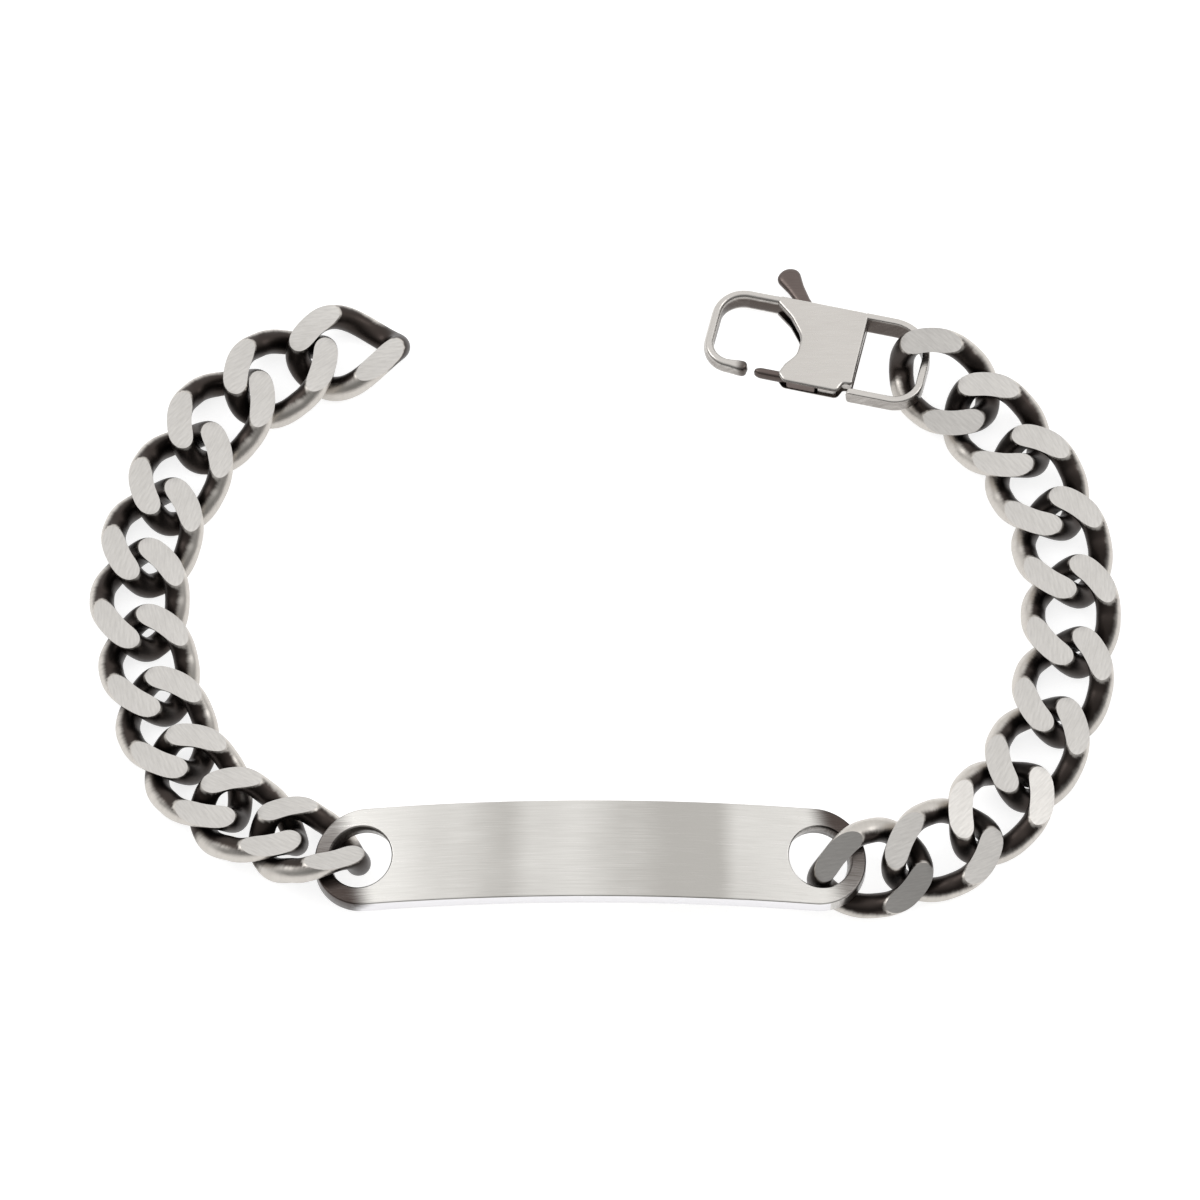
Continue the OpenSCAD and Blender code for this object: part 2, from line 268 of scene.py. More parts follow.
@dataclass(frozen=True)
class Steel:
    """One finish of the bracelet's steel, which may carry painted reflection bands.

    Attributes:
        name: The material's name.
        light: Colour of the clean metal, and the light end of any painted reflection bands.
        dark: Colour of the clean metal's darker streaks, and the dark end of any painted reflection
            bands.
        roughness: Mean roughness.
        rough_spread: How much the streaks change the roughness.
        tint_spread: How much the streaks and clouds change the colour.
        across: Scratches for each millimetre across them.
        along: Scratches for each millimetre along them.
        bump: Strength of the scratches' relief.
        scratch_depth: Height from the pattern's dark to its light, in millimetres.
        uv: Name of the UV map the pattern follows, or nothing for object coordinates.
        tarnish: Colour where the piece's patina is full.
        ragged: How much the streaks fray the patina's border.
        middle: Where the painted reflection bands are counted from along x, in millimetres.
        painted_reflection_bands: Painted reflections as broad tones along x: a distance from the
            middle in millimetres and a shade from 0 for light to 1 for dark.
        plain_shade: The shade, on the same scale, of a finish without painted reflection bands.
        cloud_share: How strongly the clouds show against the streaks.
    """

    name: str
    light: tuple[float, float, float]
    dark: tuple[float, float, float]
    roughness: float
    rough_spread: float = 0.1
    tint_spread: float = 0.3
    across: float = 9.0
    along: float = 0.35
    bump: float = 0.1
    scratch_depth: float = 0.02
    uv: str = ""
    tarnish: tuple[float, float, float] = (0.040, 0.031, 0.028)
    ragged: float = 0.55
    middle: float = 0.0
    painted_reflection_bands: tuple[tuple[float, float], ...] = ()
    plain_shade: float = 0.25
    cloud_share: float = 0.6

    def painted_reflection_shade(self, n: Nodes, place: bpy.types.NodeSocket) -> bpy.types.NodeSocket:
        """Returns the painted reflections' shade at each place, from a colour ramp along x."""
        low, high = self.painted_reflection_bands[0][0], self.painted_reflection_bands[-1][0]
        x = n.add("ShaderNodeSeparateXYZ", {0: place}).outputs[0]
        reach = {"Value": x, "From Min": self.middle + low, "From Max": self.middle + high}
        ramp = n.add("ShaderNodeValToRGB", {0: n.add("ShaderNodeMapRange", reach).outputs[0]})
        ramp.color_ramp.interpolation = "EASE"
        stops = ramp.color_ramp.elements
        while len(stops) < len(self.painted_reflection_bands):
            stops.new(0.5)
        for stop, (at, shade) in zip(stops, self.painted_reflection_bands):
            stop.position = (at - low) / (high - low)
            stop.color = (shade, shade, shade, 1)
        return ramp.outputs[0]

    def build(self) -> bpy.types.Material:
        """Returns the finish as a node material."""
        material = bpy.data.materials.new(self.name)
        material.use_nodes = True
        tree = material.node_tree
        tree.nodes.clear()
        n = Nodes(tree)
        if self.uv:
            place = n.add("ShaderNodeUVMap", uv_map=self.uv).outputs[0]
        else:
            metres = {0: n.add("ShaderNodeTexCoord").outputs["Object"], "Scale": 1 / MM}
            place = n.add("ShaderNodeVectorMath", metres, operation="SCALE").outputs[0]
        streaks = n.add("ShaderNodeGroup", node_tree=BRUSHED)
        tree.links.new(place, streaks.inputs["Place"])
        streaks.inputs["Across"].default_value = self.across
        streaks.inputs["Along"].default_value = self.along
        uneven = n.math("SUBTRACT", streaks.outputs["Streaks"], 0.5)
        cloudy = n.math("SUBTRACT", streaks.outputs["Clouds"], 0.5)
        mottle = n.math("ADD", uneven, n.math("MULTIPLY", cloudy, self.cloud_share))
        tint = n.math("MULTIPLY", mottle, self.tint_spread * 2)
        # Where a finish has bands, the ramp along x adds painted reflections to the streaks' shade.
        shade = n.math("ADD", tint, self.painted_reflection_shade(n, place) if self.painted_reflection_bands else self.plain_shade)
        clean = n.blend(shade, (*self.light, 1), (*self.dark, 1))
        amount = n.add("ShaderNodeAttribute", attribute_name="patina").outputs["Fac"]
        frayed = n.math("ADD", amount, n.math("MULTIPLY", uneven, self.ragged))
        colour = n.blend(n.ramp(frayed, 0.1, 0.9), clean, (*self.tarnish, 1))
        rough = n.math("ADD", n.math("MULTIPLY", uneven, self.rough_spread * 2), self.roughness)
        height = n.add("ShaderNodeBump", {
            "Height": streaks.outputs["Streaks"], "Strength": self.bump,
            "Distance": self.scratch_depth * MM,
        })
        shader = n.add(
            "ShaderNodeBsdfPrincipled",
            {"Base Color": colour, "Roughness": rough, "Metallic": 1.0, "Normal": height.outputs[0]},
        )
        out = n.add("ShaderNodeOutputMaterial")
        tree.links.new(shader.outputs[0], out.inputs[0])
        return material


PLATE_MIDDLE = (-1.36, -27.87)
GROUND_FLAT = Steel(
    "ground_flat", light=(0.62, 0.60, 0.573), dark=(0.37, 0.355, 0.337), roughness=0.34,
    uv="ring_place", across=5.0, along=0.8, bump=0.45, tint_spread=0.6, ragged=0.0,
)
DARKENED_WIRE = Steel(
    "darkened_wire", light=(0.60, 0.57, 0.53), dark=(0.42, 0.39, 0.36), roughness=0.38,
    uv="wire_place", across=1.6, along=0.5, bump=0.2, tarnish=(0.046, 0.037, 0.033),
)
SATIN_PLATE_PAINTED_REFLECTIONS = Steel(
    "satin_plate_painted_reflections", light=(0.73, 0.715, 0.685), dark=(0.42, 0.405, 0.38), roughness=0.30,
    across=12.0, along=0.2, bump=0.35, tint_spread=0.4, tarnish=(0.060, 0.047, 0.042), ragged=0.45,
    middle=PLATE_MIDDLE[0],
    # Painted reflections: broad light and dark bands along the plate, put into its colour.
    painted_reflection_bands=(
        (-25.0, 0.3), (-18.6, 0.15), (-13.0, 0.5), (-8.0, 0.85), (-5.0, 0.45), (-1.5, 0.35),
        (3.7, 0.7), (8.5, 1.0), (11.3, 1.05), (13.8, 0.45), (19.0, 0.4), (25.0, 0.6),
    ),
)
# Painted reflection: a lighter copy of the plate's steel for its long side walls, which stands in for the
# bright floor that they reflect.
PLATE_EDGE_PAINTED_REFLECTION = Steel(
    "plate_edge_painted_reflection", light=(0.78, 0.77, 0.79), dark=(0.66, 0.65, 0.67), roughness=0.3,
    across=6.0, along=0.3, tint_spread=0.1,
)
SATIN_CLASP = Steel(
    "satin_clasp", light=(0.60, 0.575, 0.545), dark=(0.40, 0.375, 0.35), roughness=0.28,
    across=8.0, along=0.4, bump=0.15, tarnish=(0.085, 0.070, 0.062), ragged=0.4,
)
DARK_LEVER = Steel(
    "dark_lever", light=(0.155, 0.125, 0.115), dark=(0.06, 0.048, 0.044), roughness=0.36,
    across=8.0, along=0.4, bump=0.15, ragged=0.0,
)


# Chain


@dataclass(frozen=True)
class Lay:
    """How one link lies, counted from the plate outwards.

    Attributes:
        direction: Direction of the step to the next link, in degrees.
        slack: How much closer the next link is than in a taut chain.
        swing: Turn off the run's own direction.
        roll: Lean about the link's length.
        pitch: Lean along the link's length.
    """

    direction: float
    slack: float
    swing: float = 0.0
    roll: float = 0.0
    pitch: float = 0.0


LEFT_LAY = (
    Lay(155, 1.20, 4, -24, -6),
    Lay(140, 1.25, 4.5, -13, -1),
    Lay(119, 1.00, -0.5, -6),
    Lay(106, 1.00),
    Lay(98, 0.60),
    Lay(80, 0.85),
    Lay(67, 0.75, -0.5),
    Lay(58, 0.40, -0.5),
    Lay(38, 0.45, 1),
    Lay(20, 0.65, 6, 0, -3),
)
RIGHT_LAY = (
    Lay(18, 0.50, -6, -33, -8),
    Lay(39, 0.60, -4.5, -19, -4),
    Lay(57, 0.45, 0, -12, -8),
    Lay(69, 0.35, 0, -2),
    Lay(83, 0.40, -0.5),
    Lay(96, 0.60, -0.5),
    Lay(110, 0.70, -0.5),
    Lay(124, 0.70, -1, 3, 1),
    Lay(137, 0.65, 1.5, 5),
    Lay(137, 0, 2, 16, 8),
)


@dataclass
class Ring:
    """A bent and twisted wire ring with ground flats, lying at a place.

    Attributes:
        half_length: Half the centre line's length.
        half_width: Half the centre line's width before the twist.
        pear: How much narrower the ring is towards +x, as a share.
        full: Fullness of the corners, 2 for an oval.
        twist: Twist of each end against the middle, in degrees.
        wire_d: Diameter of the round wire.
        thick: Thickness between the ground flats.
        rub: How much less of the wire is rubbed bright on the bracelet's outside.
        rub_range: Facings between which the wear grows from none to full.
        end_fade: Shares of the half length between which the wear fades out.
        flat_fade: Distances from a flat's height between which the wear fades out.
        stations: Sections along the ring.
        sides: Sides of the wire.
    """

    half_length: float = 4.72
    half_width: float = 3.5
    pear: float = 0.0
    full: float = 2.5
    twist: float = 57.0
    wire_d: float = 2.3
    thick: float = 3.4
    rub: float = 0.45
    rub_range: tuple[float, float] = (-0.3, 0.6)
    end_fade: tuple[float, float] = (0.62, 0.92)
    flat_fade: tuple[float, float] = (0.22, 0.02)
    stations: int = 112
    sides: int = 40

    def centre(self, angles: np.ndarray) -> np.ndarray:
        """Centre line of the wire.

        An oval, x = a cos t and y = b sin t, whose corners are filled out by raising the
        sine and cosine to the power 2 / full. It is then turned about its length by
        -twist cos t, so its two ends lean opposite ways.

        Args:
            angles: Angles t round the ring, in radians.

        Returns:
            Points, one row for each angle.
        """
        c, s = np.cos(angles), np.sin(angles)
        if self.pear:
            x, y = c, s * (1 - self.pear * c)
        else:
            x, y = signed_power(c, 2 / self.full), signed_power(s, 2 / self.full)
        lean = -np.radians(self.twist) * c
        across = self.half_width * y
        return np.c_[self.half_length * x, across * np.cos(lean), across * np.sin(lean)]

    def rise(self, matrix: np.ndarray) -> float:
        """Returns how high the middle lies when the ring, turned by a matrix, touches the surface."""
        points = self.mesh_points()[0]
        points[:, 2] = np.clip(points[:, 2], -self.thick / 2, self.thick / 2)
        return -(points @ matrix.T)[:, 2].min()

    def even_angles(self) -> np.ndarray:
        """Returns the angles that space the stations evenly along the centre line."""
        dense = np.linspace(0, 2 * np.pi, 4001)
        run = run_length(self.centre(dense))
        return np.interp(np.linspace(0, run[-1], self.stations, endpoint=False), run, dense)

    def mesh_points(self) -> tuple[np.ndarray, np.ndarray]:
        """Surface of the wire, before grinding.

        Around each point of the centre line, a circle of the wire's radius in the plane
        across the line: point = centre + r (cos w side + sin w up).

        Returns:
            The points, and each one's share of facing away from the ring's middle.
        """
        t = self.even_angles()
        path = self.centre(t)
        along = unit(np.roll(path, -1, axis=0) - np.roll(path, 1, axis=0))
        side = unit(np.cross(along, [0.0, 0.0, 1.0]))
        up = np.cross(side, along)
        w = np.linspace(0, 2 * np.pi, self.sides, endpoint=False)
        ring = np.cos(w)[None, :, None] * side[:, None, :] + np.sin(w)[None, :, None] * up[:, None, :]
        points = path[:, None, :] + self.wire_d / 2 * ring
        outward = unit(path * [1, 1, 0])
        facing = np.einsum("twk,tk->tw", ring, outward)
        return points.reshape(-1, 3), facing.ravel()

    def build(self, name: str, inner_side: float) -> bpy.types.Mesh:
        """Makes the ring about its own middle, cut by its two flats.

        Args:
            name: The mesh's name.
            inner_side: 1 if the inside of the bracelet lies on the ring's +y side, or -1.

        Returns:
            The mesh in metres, with the flats on material 1 and crisp edges round them.
        """
        points, facing = self.mesh_points()
        faces = grid_faces(self.stations, self.sides, True, True).tolist()
        mesh = mesh_from(name, points, faces, self.patina(points, facing, inner_side))
        self.grind(mesh)
        return mesh

    def patina(self, points: np.ndarray, facing: np.ndarray, inner_side: float) -> np.ndarray:
        """How dark the wire is, from 0 for rubbed bright to 1 for dark.

        Wear brightens what faces outwards and what lies next to the ground flats, and it
        reaches further round the wire on the side that rubs the wrist: the share is 1
        less a smooth step of the facing, faded out towards the ring's ends, and less a
        ramp of the height.

        Args:
            points: Surface points before grinding.
            facing: Share of each point's facing away from the middle.
            inner_side: 1 if the inside of the bracelet lies on the ring's +y side, or -1.

        Returns:
            One value for each point.
        """
        inside = smooth_step(points[:, 1] * inner_side, -1, 1)
        rubbed = smooth_step(facing + self.rub * (inside - 1), *self.rub_range)
        rubbed *= 1 - smooth_step(np.abs(points[:, 0]) / self.half_length, *self.end_fade)
        low, high = (self.thick / 2 - under for under in self.flat_fade)
        return 1 - np.maximum(rubbed, smooth_step(np.abs(points[:, 2]), low, high))

    def grind(self, mesh: bpy.types.Mesh) -> None:
        """Cuts the wire at the top and bottom flats, and closes the cuts with flat faces."""
        half = self.thick / 2 * MM
        work = bmesh.new()
        work.from_mesh(mesh)
        for sign in (1, -1):
            cut = bmesh.ops.bisect_plane(
                work,
                geom=work.verts[:] + work.edges[:] + work.faces[:],
                plane_co=(0, 0, sign * half),
                plane_no=(0, 0, sign),
                clear_outer=True,
            )
            rims = [e for e in cut["geom_cut"] if isinstance(e, bmesh.types.BMEdge)]
            for face in bmesh.ops.holes_fill(work, edges=rims, sides=0)["faces"]:
                face.material_index = 1
                for edge in face.edges:
                    edge.smooth = False
        bmesh.ops.recalc_face_normals(work, faces=work.faces[:])
        for face in work.faces:
            face.smooth = face.material_index == 0
        lay = work.loops.layers.uv.new("ring_place")
        wire = work.loops.layers.uv.new("wire_place")
        for face in work.faces:
            for loop in face.loops:
                co = loop.vert.co / MM
                loop[lay].uv = (co.x, co.y)
                loop[wire].uv = (math.hypot(co.x, co.y) * 2 + co.z, math.atan2(co.y, co.x) * 5)
        work.to_mesh(mesh)
        work.free()


@dataclass
class Chain:
    """The two runs of curb links and the end link, in the poses that the bracelet lies in.

    Attributes:
        plate: The plate, which carries both runs.
        link_len: Outer length of a link of the source's wire.
        source_wire_d: Diameter of the source's wire.
        left_start: Middle of the first left link from the plate's left hole.
        right_start: Middle of the first right link from the plate's right hole.
        end_turn: Heading of the end link in degrees.
        curb: The shape of a curb link.
        end: The shape of the end link.
    """

    plate: "Plate"
    link_len: float = 11.75
    source_wire_d: float = 2.2
    left_start: tuple[float, float] = (-4.85, 1.75)
    right_start: tuple[float, float] = (4.72, -0.62)
    end_turn: float = 6.0
    curb: Ring = field(default_factory=Ring)
    end: Ring = field(default_factory=lambda: Ring(half_length=4.7, half_width=3.4, pear=0.14))

    def run_points(self, lay: tuple[Lay, ...], start: np.ndarray) -> np.ndarray:
        """Middles of a run's links and of what follows its last link.

        Each is the one before plus a step of the taut pitch less the slack, in the
        step's direction.

        Args:
            lay: How the run's links lie.
            start: Middle of the first link.

        Returns:
            Points, one more than the links.
        """
        taut = self.link_len - 2 * self.source_wire_d
        reach = np.array([taut - row.slack for row in lay])
        heading = np.radians([row.direction for row in lay])
        steps = reach[:, None] * np.c_[np.cos(heading), np.sin(heading)]
        return np.vstack([start, start + np.cumsum(steps, axis=0)])

    def build(self) -> None:
        """Lays both runs and the end link."""
        finishes = [DARKENED_WIRE.build(), GROUND_FLAT.build()]
        ends = {}
        for side, lay, hole, start in (
            (Side.LEFT, LEFT_LAY, self.plate.hole(-1), self.left_start),
            (Side.RIGHT, RIGHT_LAY, self.plate.hole(1), self.right_start),
        ):
            points = self.run_points(lay, hole + start)
            ends[side] = points[-1]
            for k, row in enumerate(lay):
                before = lay[max(k - 1, 0)].direction
                turn = 180 + row.swing + (before + row.direction) / 2
                name = f"{side.value}_link_{len(lay) - k}"
                self.lay_ring(self.curb, name, points[k], rotation(row.roll, row.pitch, turn), finishes)
        self.lay_ring(self.end, "end_link", ends[Side.LEFT], rotation(0, 0, self.end_turn), finishes)

    def lay_ring(self, ring: Ring, node: str, at: np.ndarray, matrix: np.ndarray, finishes: list) -> None:
        """Sets one ring down in place of a CAD node.

        Args:
            ring: The ring's shape.
            node: The node that it stands for.
            at: Its middle, seen from above.
            matrix: The matrix that turns it.
            finishes: The wire's finish and the flats' finish.
        """
        middle = np.array([*at, ring.rise(matrix)])
        inner_side = math.copysign(1, (matrix[:2, 1] * -middle[:2]).sum())
        mesh = ring.build(node + "_steel", inner_side)
        co = np.empty(len(mesh.vertices) * 3)
        mesh.vertices.foreach_get("co", co)
        mesh.vertices.foreach_set("co", (co.reshape(-1, 3) @ matrix.T + middle * MM).ravel())
        mesh.update()
        for finish in finishes:
            mesh.materials.append(finish)
        piece = add_piece(node + "_smooth", mesh, Body.BRACELET, Slot.LINK, node)
        low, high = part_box(node)
        drift = (Vector(piece.bound_box[0]) + Vector(piece.bound_box[6])) / 2 - (low + high) / 2
        LOG.info("%s lies %.2f mm from its node's middle", node, drift.length / MM)


# Plate


@dataclass
class Plate:
    """The curved plate with a bevelled hole at each end.

    Attributes:
        middle: The plate's middle, seen from above.
        top: Height of its highest point.
        bend_r: Radius of its bend, to the top face.
        width: Its width.
        thick: Its thickness.
        length: Its length along the top face.
        hole_d: Diameter of a hole.
        tip_wall: Steel between a hole and the end.
        bevel: Bevel round the holes.
        bevel_soft: Softening of the bevel's own edges.
        edge_r: Rounding of the outer edges.
        tip_dark: How dark the tips are on the middle line, and how much more at one edge.
        tip_slant: How much sooner the dark starts at that edge.
        bore_dark: How dark the holes' walls are.
        columns: Grid columns along half of the outline.
        middle_columns: Grid columns down the plate's middle line.
        rows: Grid rows from a hole to the outline.
    """

    middle: tuple[float, float] = PLATE_MIDDLE
    top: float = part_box("plate")[1].z / MM
    bend_r: float = 97.0
    width: float = 9.4
    thick: float = 1.9
    length: float = 51.0
    hole_d: float = 5.9
    tip_wall: float = 1.45
    bevel: float = 0.12
    bevel_soft: float = 0.02
    edge_r: float = 0.16
    tip_dark: tuple[float, float] = (0.74, 0.18)
    tip_slant: float = 0.22
    bore_dark: float = 0.7
    columns: int = 260
    middle_columns: int = 40
    rows: int = 26

    @property
    def hole_angle(self) -> float:
        """Angle of a hole's middle round the bend, in radians."""
        return ((self.length - self.hole_d) / 2 - self.tip_wall) / (self.bend_r - self.thick / 2)

    @property
    def hole_x(self) -> float:
        """Distance of a hole from the plate's middle, seen from above."""
        return (self.bend_r - self.thick / 2) * math.sin(self.hole_angle)

    @property
    def round_x(self) -> float:
        """Distance of the middle of an end's half circle from the plate's middle."""
        return self.hole_x + self.hole_d / 2 + self.tip_wall - self.width / 2

    def hole(self, side: int) -> np.ndarray:
        """Returns where the hole of that side, -1 or 1, lies, seen from above."""
        return np.array([self.middle[0] + side * self.hole_x, self.middle[1]])

    def outline(self, inset: float, count: int) -> np.ndarray:
        """Half of the plate's outline, from the middle line round the right end.

        A straight edge, a half circle and a straight edge back, with points spaced
        evenly along it, and closed along the middle line.

        Args:
            inset: How far inside the real outline.
            count: Number of points.

        Returns:
            Points seen from above, the first and last on the middle line.
        """
        r, straight = self.width / 2 - inset, self.round_x
        total = 2 * straight + math.pi * r
        s = np.linspace(0, total, count)
        angle = np.clip((s - straight) / r, 0, math.pi) - math.pi / 2
        x = np.minimum(np.minimum(s, total - s), straight) + r * np.cos(angle)
        return np.c_[x, r * np.sin(angle)]

    def closing(self, inset: float, count: int) -> np.ndarray:
        """Returns points down the middle line, between the two straight edges."""
        r = self.width / 2 - inset
        return np.c_[np.zeros(count), np.linspace(r, -r, count + 2)[1:-1]]

    def lift(self, plan: np.ndarray, depth: np.ndarray | float) -> np.ndarray:
        """Puts points seen from above on the bend, at a depth under the top face.

        The height is the circle's own: the root of (radius - depth) squared less x
        squared.

        Args:
            plan: Points seen from above, from the plate's middle.
            depth: Depth under the top face.

        Returns:
            Points in the row frame.
        """
        z = np.sqrt((self.bend_r - depth) ** 2 - plan[..., 0] ** 2) - self.bend_r + self.top
        return np.stack([plan[..., 0] + self.middle[0], plan[..., 1] + self.middle[1], z], axis=-1)

    def rim(self, angles: np.ndarray, radius: float, depth: float) -> np.ndarray:
        """Circle of a hole where it meets the bend at a depth, seen from above.

        The hole's axis runs through the middle of the bend, so its circle of angle w
        has the distance root((R - depth)^2 - (radius cos w)^2) along the axis.

        Args:
            angles: Angles w round the hole.
            radius: Radius of the circle.
            depth: Depth under the top face.

        Returns:
            Points seen from above, from the plate's middle.
        """
        across = radius * np.cos(angles)
        reach = np.sqrt((self.bend_r - depth) ** 2 - across ** 2)
        a = self.hole_angle
        return np.c_[reach * math.sin(a) + across * math.cos(a), radius * np.sin(angles)]

    def half(self, side: int) -> tuple[np.ndarray, np.ndarray]:
        """One half of the plate as two grids: both faces with the hole's wall, and the outer wall.

        Args:
            side: -1 for the left half and 1 for the right.

        Returns:
            Points in the row frame and quads.
        """
        r, t, hole_r, b, soft = self.edge_r, self.thick, self.hole_d / 2, self.bevel, self.bevel_soft
        quarter = np.linspace(0, math.pi / 2, 5)
        edge = [(r * (1 - math.sin(q)), r * (1 - math.cos(q))) for q in quarter]
        wall = edge + [(i, t - d) for i, d in reversed(edge)]
        bevel = [(b, 0.0), (b * 0.93, soft), (soft, b * 0.93), (0.0, b * 1.1)]
        bore = bevel + [(g, t - d) for g, d in reversed(bevel)]
        face = np.vstack([self.outline(r, self.columns), self.closing(r, self.middle_columns)])
        angles = np.arctan2(face[:, 1], face[:, 0] - self.hole_x)
        share = (1 - np.cos(np.linspace(0, math.pi, self.rows)))[:, None, None] / 2
        wall_rings = [self.lift(self.rim(angles, hole_r + g, d), d) for g, d in reversed(bore)]
        top = self.rim(angles, hole_r + self.bevel, 0.0)[None] * (1 - share) + face[None] * share
        bottom = self.rim(angles, hole_r + self.bevel, t)[None] * (1 - share) + face[None] * share
        sheet = np.array([*self.lift(bottom[::-1], t)[:-1], *wall_rings, *self.lift(top, 0.0)[1:]])
        faces = grid_faces(sheet.shape[0], sheet.shape[1], False, True)
        points = sheet.reshape(-1, 3)
        rims = np.array([self.lift(self.outline(inset, self.columns), depth) for inset, depth in wall])
        wall_faces = grid_faces(rims.shape[0], rims.shape[1], False, False) + len(points)
        points = np.vstack([points, rims.reshape(-1, 3)])
        faces = np.vstack([faces, wall_faces])
        if side < 0:
            points[:, 0] = 2 * self.middle[0] - points[:, 0]
        return points, faces

    def patina(self, points: np.ndarray) -> np.ndarray:
        """How dark the plate is, from 0 to 1.

        It darkens round the links: past each hole's middle by a smooth step towards the
        tip, which starts sooner on one edge than on the other, as the plate lay in its
        polishing, and down the holes' walls.

        Args:
            points: The plate's points in the row frame.

        Returns:
            One value for each point.
        """
        x, y = points[:, 0] - self.middle[0], (points[:, 1] - self.middle[1]) / (self.width / 2)
        past = (np.abs(x) - self.hole_x) / (self.hole_d / 2 + self.tip_wall)
        lean = y * np.sign(x)
        full = self.tip_dark[0] + self.tip_dark[1] * lean
        tip = smooth_step(past + self.tip_slant * lean, -0.3, 0.55) * full
        low = self.lift(np.c_[x, y * 0], 0.0)[:, 2] - points[:, 2]
        from_hole = np.hypot(np.abs(x) - self.hole_x, y * self.width / 2) - self.hole_d / 2
        wall = (1 - smooth_step(from_hole, 0.02, 0.2)) * smooth_step(low, 0.02, 0.2)
        fade = smooth_step(low, 0.1, 0.4) * (1 - smooth_step(past, -0.2, 0.3))
        return np.maximum(tip * (1 - fade), self.bore_dark * wall)

    def on_edge(self, corners: np.ndarray) -> np.ndarray:
        """Says which quads, given by their corners, are upright and lie along the plate's long sides."""
        normal = np.cross(corners[:, 2] - corners[:, 0], corners[:, 3] - corners[:, 1])
        upright = np.abs(normal[:, 2]) < 0.5 * np.linalg.norm(normal, axis=1)
        middle = corners.mean(axis=1)
        outside = np.abs(middle[:, 1] - self.middle[1]) > self.width / 2 - 0.2
        return upright & outside

    def build(self) -> None:
        """Makes the plate and gives it its finishes: painted reflection bands along its faces, and a
        lighter copy of its steel on its long sides as a painted reflection.
        """
        right, left = self.half(1), self.half(-1)
        points = np.vstack([right[0], left[0]])
        faces = np.vstack([right[1], left[1] + len(right[0])])
        mesh = mesh_from("plate_steel", points, faces.tolist(), self.patina(points))
        # The long side walls take the lighter copy of the steel, a painted reflection.
        mesh.polygons.foreach_set("material_index", self.on_edge(points[faces]).astype(np.int32))
        work = bmesh.new()
        work.from_mesh(mesh)
        bmesh.ops.remove_doubles(work, verts=work.verts[:], dist=0.002 * MM)
        bmesh.ops.recalc_face_normals(work, faces=work.faces[:])
        for f in work.faces:
            f.smooth = True
        open_edges = sum(1 for e in work.edges if not e.is_manifold)
        work.to_mesh(mesh)
        work.free()
        mesh.materials.append(SATIN_PLATE_PAINTED_REFLECTIONS.build())
        mesh.materials.append(PLATE_EDGE_PAINTED_REFLECTION.build())
        LOG.info("plate has %d open edges", open_edges)
        add_piece("plate_satin_painted_reflections", mesh, Body.BRACELET, Slot.PLATE, "plate")


# Clasp


def rounded_path(corners: list[tuple[float, float, float]], step: float) -> np.ndarray:
    """Follows straight lines whose corners are replaced by arcs.

    At a corner that turns by angle a, an arc of radius r touches both lines at the
    distance r tan(a / 2) from the corner.

    Args:
        corners: x, y and corner radius of each corner, in order.
        step: Greatest distance between points.

    Returns:
        Points along the path.
    """
    points = [np.array(corners[0][:2])]
    for before, corner, after in zip(corners, corners[1:], corners[2:]):
        here = np.array(corner[:2])
        back, forth = unit(np.array(before[:2]) - here), unit(np.array(after[:2]) - here)
        half_open = math.acos(np.clip(back @ forth, -1, 1)) / 2
        reach = corner[2] / math.tan(half_open)
        middle = here + unit(back + forth) * corner[2] / math.sin(half_open)
        first, last = here + back * reach - middle, here + forth * reach - middle
        sweep = math.pi - 2 * half_open
        turn = np.linspace(0, sweep, max(3, int(sweep * corner[2] / step) + 2))[:, None]
        normal = unit(last - first * math.cos(sweep)) * corner[2]
        points.extend(middle + first * np.cos(turn) + normal * np.sin(turn))
    points.append(np.array(corners[-1][:2]))
    path = np.array(points)
    run = run_length(path)
    even = np.linspace(0, run[-1], max(2, int(run[-1] / step) + 1))
    return np.c_[np.interp(even, run, path[:, 0]), np.interp(even, run, path[:, 1])]


def closed_path(corners: list[tuple[float, float, float]], start_x: float, step: float) -> np.ndarray:
    """Follows a closed outline from start_x on its first edge, which is level, with rounded corners."""
    start = (start_x, corners[0][1], 0)
    return rounded_path([start, *corners[1:], corners[0], start], step)[:-1]


def squircle(count: int, power: float) -> np.ndarray:
    """Returns a loop of a superellipse of half size 1: |x|^power + |z|^power = 1."""
    w = np.linspace(0, 2 * np.pi, count, endpoint=False)
    return np.c_[signed_power(np.cos(w), 2 / power), signed_power(np.sin(w), 2 / power)]


def prism(loop: np.ndarray, half: float, shade: float) -> tuple:
    """Returns points, faces and even patina of a block from -half to half under an outline."""
    points = np.vstack([np.c_[loop, np.full(len(loop), z)] for z in (-half, half)])
    return points, capped_faces(2, len(loop)), np.full(len(points), shade)


